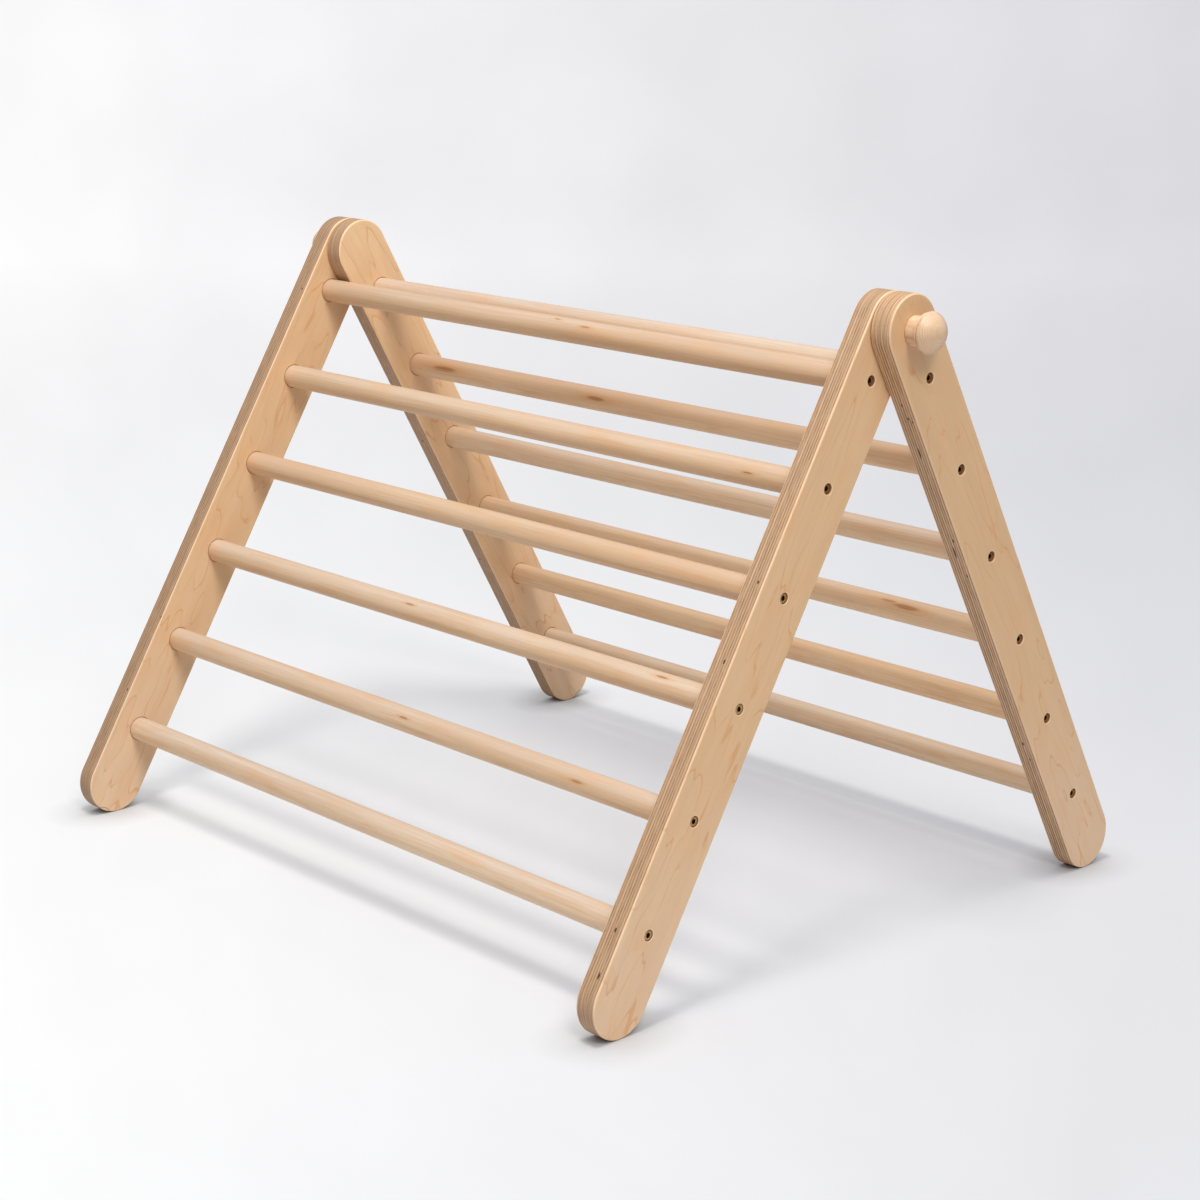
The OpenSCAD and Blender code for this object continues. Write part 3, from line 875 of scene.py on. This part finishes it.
# ---- metal and plastic ----

# Display tones of the screws' plate, of the painted shade on heads sunk deeper, and of the painted
# shade inside the hexagon
BRASS = {"plate": ((200, 164, 104), (172, 134, 78)), "shaded": (128, 80, 34), "inside": (34, 24, 14)}


@cache
def aged_brass():
    """Screws: dull yellow plate with painted shade on heads sunk deeper and painted dark shade inside
    the hexagon, with turning marks on the head.
    """
    def fill(tree, shader):
        place = tree.own_place("screw_place")
        u, v, depth = tree.parts(place)
        from_axis = tree.length(tree.whole(u, v, 0.0))
        marks = tree.noise(tree.whole(tree.times(from_axis, 5.0), 0.0, depth))
        cloud = tree.noise(place, (0.5, 0.5, 0.5))
        colour = tree.tones(tree.ramp(cloud, 0.35, 0.65), BRASS["plate"])
        colour = tree.tinted(colour, BRASS, (tree.note("screw_shade"), 0.85, "shaded"))
        # painted shade: near black inside the hexagon's recess
        inside = tree.times(tree.ramp(from_axis, 3.3, 3.0), tree.ramp(depth, 0.5, 1.0))
        colour = tree.blend(inside, colour, srgb(*BRASS["inside"]))
        tree.surface(shader, colour, tree.scaled(cloud, 0.2, 0.36), marks, 0.0001, 0.2,
                     {"Metallic": 0.6})
    return finish("aged_brass", fill)


def plain_finish(name, pair, scale, roughness, metallic):
    """A finish for the hidden hardware: two tones in small clouds, with a fine bump."""
    def fill(tree, shader):
        cloud = tree.noise(tree.node("TexCoord").outputs["Object"], scale=scale, detail=3)
        colour = tree.tones(tree.ramp(cloud, 0.35, 0.65), pair)
        tree.surface(shader, colour, tree.scaled(cloud, 0.2, roughness), cloud, 0.0001, 0.2,
                     {"Metallic": metallic})
    return finish(name, fill)


# ---- studio ----

# The camera's place in metres, its aim in degrees and its lens, all as the photograph was taken.
# Focal length, middle of view and frame are in pixels of the photograph, the sensor in millimetres
CAMERA = {"place": (2.1311, -2.0755, 1.0946), "yaw": 46.65, "pitch": -13.91, "roll": 0.73,
          "focal": 2446.5, "middle": (550, 565), "frame": 1200, "sensor": 36.0}

# The paper's tones, as display colours: its albedo as light bounces and as it is seen, and the
# painted glow of light that overexposure adds near the object and far off, at the picture's left and right
PAPER = {"albedo": ((212, 211, 212), (171, 169, 167)),
         "near": ((178, 181, 184), (141, 145, 154)),
         "far": ((229, 229, 230), (189, 189, 195))}
PAPER_NEAR, PAPER_FAR = 2, 9   # metres ahead of the camera between which the near glow turns to the far
AMBIENT_REACH = 0.06           # metres around a foot in which the paper is shaded

# The floor: how far it lies flat, how wide it bends up and how high the wall is, in metres
FLOOR_FLAT, FLOOR_BEND, WALL_TOP = 9.0, 3.0, 8.0


def add_camera():
    """The camera: the picture's middle of view gives the shift, as a share of the frame."""
    data = bpy.data.cameras.new("camera")
    data.sensor_fit = "HORIZONTAL"
    data.sensor_width = CAMERA["sensor"]
    data.lens = CAMERA["focal"] / CAMERA["frame"] * CAMERA["sensor"]
    half = CAMERA["frame"] / 2
    data.shift_x = (half - CAMERA["middle"][0]) / CAMERA["frame"]
    data.shift_y = (CAMERA["middle"][1] - half) / CAMERA["frame"]
    data.clip_end = 100
    camera = add_object("camera", data)
    camera.location = CAMERA["place"]
    camera.rotation_euler = (math.radians(90 + CAMERA["pitch"]), 0, math.radians(CAMERA["yaw"]))
    bpy.context.view_layer.update()
    camera.matrix_world = camera.matrix_world @ Matrix.Rotation(math.radians(CAMERA["roll"]), 4, "Z")
    bpy.context.scene.camera = camera


def pale_paper():
    """Studio paper: off-white. What the camera sees is partly lit by itself, as overexposed paper
    looks: a painted glow that is near white at the picture's left and cooler and deeper at its right,
    with faint clouds and a painted shade at the feet. The tone turns with the bearing from the camera,
    and is even behind."""
    def fill(tree, shader):
        place = tree.node("TexCoord").outputs["Object"]
        away = tree.vector("SUBTRACT", place, CAMERA["place"])
        x, y, _ = tree.parts(away)
        yaw = math.radians(CAMERA["yaw"])
        right = tree.scaled(x, math.cos(yaw), tree.times(y, math.sin(yaw)))
        ahead = tree.scaled(x, -math.sin(yaw), tree.times(y, math.cos(yaw)))
        bearing = tree.math("DIVIDE", right, tree.most(ahead, 0.5))
        cool = tree.math("MULTIPLY_ADD", bearing, 2.0, 0.5, clamp=True)
        in_view = tree.ramp(ahead, 0.6, 1.9)
        cool = tree.scaled(tree.minus(cool, 0.5), in_view, 0.5)
        step = 1 / (PAPER_FAR - PAPER_NEAR)
        far = tree.math("MULTIPLY_ADD", ahead, step, -PAPER_NEAR * step, clamp=True)
        seen = tree.node("LightPath").outputs["Is Camera Ray"]
        cloud = tree.noise(tree.vector("NORMALIZE", away), scale=18)
        # painted shade at the feet: the glow dims where a foot is near
        nearby = tree.node("AmbientOcclusion", {"Distance": AMBIENT_REACH}).outputs["AO"]
        glow = tree.times(tree.scaled(cloud, 0.16, 0.92), tree.math("POWER", nearby, 1.6))
        tree.fill(shader.inputs["Base Color"], tree.tones(seen, PAPER["albedo"]))
        tree.fill(shader.inputs["Emission Color"],
                  tree.blend(far, tree.tones(cool, PAPER["near"]), tree.tones(cool, PAPER["far"])))
        tree.fill(shader.inputs["Emission Strength"], tree.times(seen, glow))
        shader.inputs["Roughness"].default_value = 0.9
        shader.inputs["Specular IOR Level"].default_value = 0.1
    return finish("pale_paper", fill)


def add_floor():
    """A round floor: flat to the bend's start, then a quarter circle up, then straight up."""
    flat = np.linspace(0, FLOOR_FLAT, 12)
    turn = np.linspace(0.1, np.pi / 2, 16)
    radius = np.concatenate([flat, FLOOR_FLAT + FLOOR_BEND * np.sin(turn), [FLOOR_FLAT + FLOOR_BEND]])
    height = np.concatenate([0 * flat, FLOOR_BEND * (1 - np.cos(turn)), [WALL_TOP]])
    angle = np.linspace(0, 2 * np.pi, 96, endpoint=False)[:, None]
    points = np.stack([radius * np.cos(angle), radius * np.sin(angle), height + 0 * angle], -1)
    index = np.arange(points[..., 0].size).reshape(points.shape[:2])
    ahead = np.roll(index, -1, axis=0)
    quads = np.stack([index[:, :-1], index[:, 1:], ahead[:, 1:], ahead[:, :-1]], -1).reshape(-1, 4)
    mesh = bpy.data.meshes.new("studio_floor")
    mesh.from_pydata(points.reshape(-1, 3), [], quads)
    mesh.shade_smooth()
    mesh.materials.append(pale_paper())
    floor = add_object("studio_floor", mesh)


def add_light(name, place, aim, size, power):
    """A square soft white light at place, facing aim."""
    data = bpy.data.lights.new(name, "AREA")
    data.shape = "SQUARE"
    data.size = size
    data.energy = power
    light = add_object(name, data)
    light.location = place
    light.rotation_euler = (Vector(aim) - Vector(place)).to_track_quat("-Z", "Y").to_euler()


def add_studio():
    """The room's even light, two lamps and the floor."""
    world = bpy.data.worlds.new("studio")
    world.use_nodes = True
    back = world.node_tree.nodes["Background"]
    back.inputs["Color"].default_value = (0.97, 0.98, 1.0, 1.0)
    back.inputs["Strength"].default_value = 0.60
    bpy.context.scene.world = world
    bpy.context.scene.view_settings.view_transform = "Standard"
    add_light("overhead", (0.58, -1.05, 4.3), (0, 0, 0.3), 0.8, 106)
    add_light("front", (3.0, -1.6, 3.6), (0, 0, 0.4), 1.2, 74)
    add_floor()


# ---- the whole ----

add_camera()
sides_and_hands = [("front", "left"), ("front", "right"), ("rear", "left"), ("rear", "right")]
for seed, (side, hand) in enumerate(sides_and_hands, 1):
    add_rail(side, hand, seed)
    add_screws(side, hand, seed)
for side in LADDERS:
    for number in range(1, RUNG_COUNT + 1):
        add_rung(side, number)
for hand in ("left", "right"):
    add_knob(hand, f"{hand}_hand_knob")

zinc_plate = plain_finish("zinc_plate", ((196, 198, 200), (172, 174, 178)), 500, 0.25, 1.0)
hidden_finishes = {
    "spacer_washer": plain_finish("nylon", ((236, 234, 228), (222, 220, 212)), 300, 0.4, 0.0),
    "threaded_insert": plain_finish("insert_brass", ((186, 160, 104), (164, 138, 86)), 400, 0.3, 1.0),
    "knob_washer": zinc_plate,
    "knob_stud": zinc_plate,
}
for hand in ("left", "right"):
    for part, material in hidden_finishes.items():
        node = frame["nodes"][f"{hand}_{part}"]
        node.data.materials.clear()
        node.data.materials.append(material)

add_studio()
